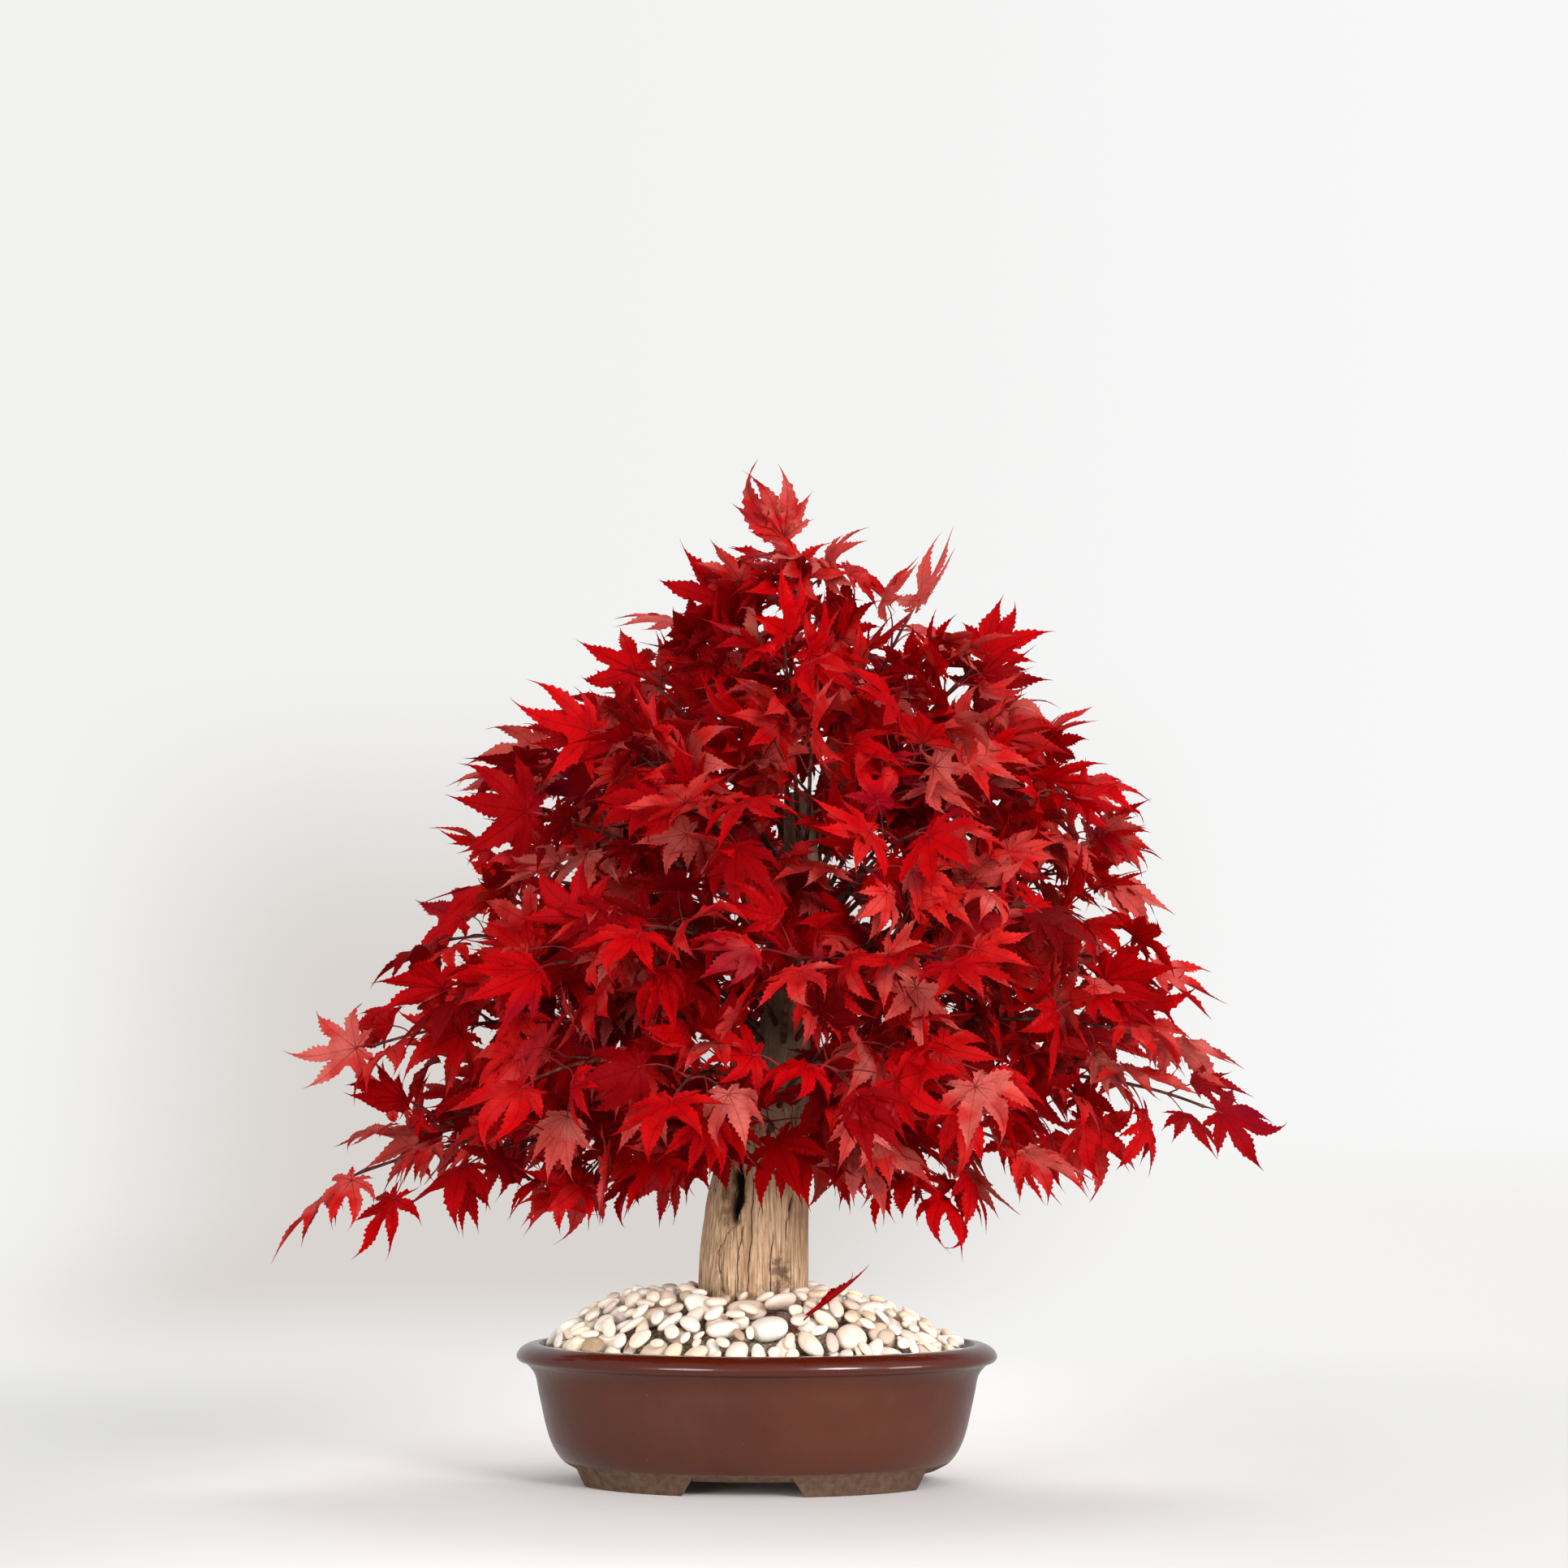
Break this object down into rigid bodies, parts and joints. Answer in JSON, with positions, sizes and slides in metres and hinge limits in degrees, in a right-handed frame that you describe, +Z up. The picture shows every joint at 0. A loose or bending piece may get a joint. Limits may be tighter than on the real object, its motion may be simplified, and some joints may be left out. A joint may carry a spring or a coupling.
{
  "type": "red maple bonsai in an oval pot",
  "caption": "Small ornamental maple with a weathered trunk and red palmate leaves, in pebble-topped soil in an oval glazed pot on short feet.",
  "frame": {"origin": "middle of the whole outline in plan, on the surface the pot's feet stand on", "axes": "+X along the pot's long axis to the right as the tree is looked at, +Y away from the viewer, +Z up"},
  "size_m": [0.5914, 0.4242, 0.5976],
  "materials": {
    "pot_glaze": "gloss",
    "soil": "matte",
    "pebble": "satin",
    "trunk_wood": "matte",
    "foliage": "satin"
  },
  "bodies": {
    "root": {"pot": "pot_glaze", "soil": "soil", "pebbles": "pebble", "trunk": "trunk_wood", "fallen_leaf": "foliage", "twig_low_01": "foliage", "twig_low_02": "foliage", "twig_low_03": "foliage", "twig_low_04": "foliage", "twig_low_05": "foliage", "twig_low_06": "foliage", "twig_low_07": "foliage", "twig_low_08": "foliage", "twig_low_09": "foliage", "twig_low_10": "foliage", "twig_low_11": "foliage", "twig_low_12": "foliage", "twig_low_13": "foliage", "twig_skirt_01": "foliage", "twig_skirt_02": "foliage", "twig_skirt_03": "foliage", "twig_skirt_04": "foliage", "twig_skirt_05": "foliage", "twig_skirt_06": "foliage", "twig_skirt_07": "foliage", "twig_skirt_08": "foliage", "twig_skirt_09": "foliage", "twig_middle_01": "foliage", "twig_middle_02": "foliage", "twig_middle_03": "foliage", "twig_middle_04": "foliage", "twig_middle_05": "foliage", "twig_middle_06": "foliage", "twig_middle_07": "foliage", "twig_middle_08": "foliage", "twig_middle_09": "foliage", "twig_middle_10": "foliage", "twig_middle_11": "foliage", "twig_middle_12": "foliage", "twig_upper_01": "foliage", "twig_upper_02": "foliage", "twig_upper_03": "foliage", "twig_upper_04": "foliage", "twig_upper_05": "foliage", "twig_upper_06": "foliage", "twig_upper_07": "foliage", "twig_upper_08": "foliage", "twig_upper_09": "foliage", "twig_upper_10": "foliage", "twig_upper_11": "foliage", "twig_crown_01": "foliage", "twig_crown_02": "foliage", "twig_crown_03": "foliage", "twig_crown_04": "foliage", "twig_crown_05": "foliage", "twig_crown_06": "foliage", "twig_crown_07": "foliage", "twig_crown_08": "foliage", "twig_crown_09": "foliage"}
  },
  "joints": []
}
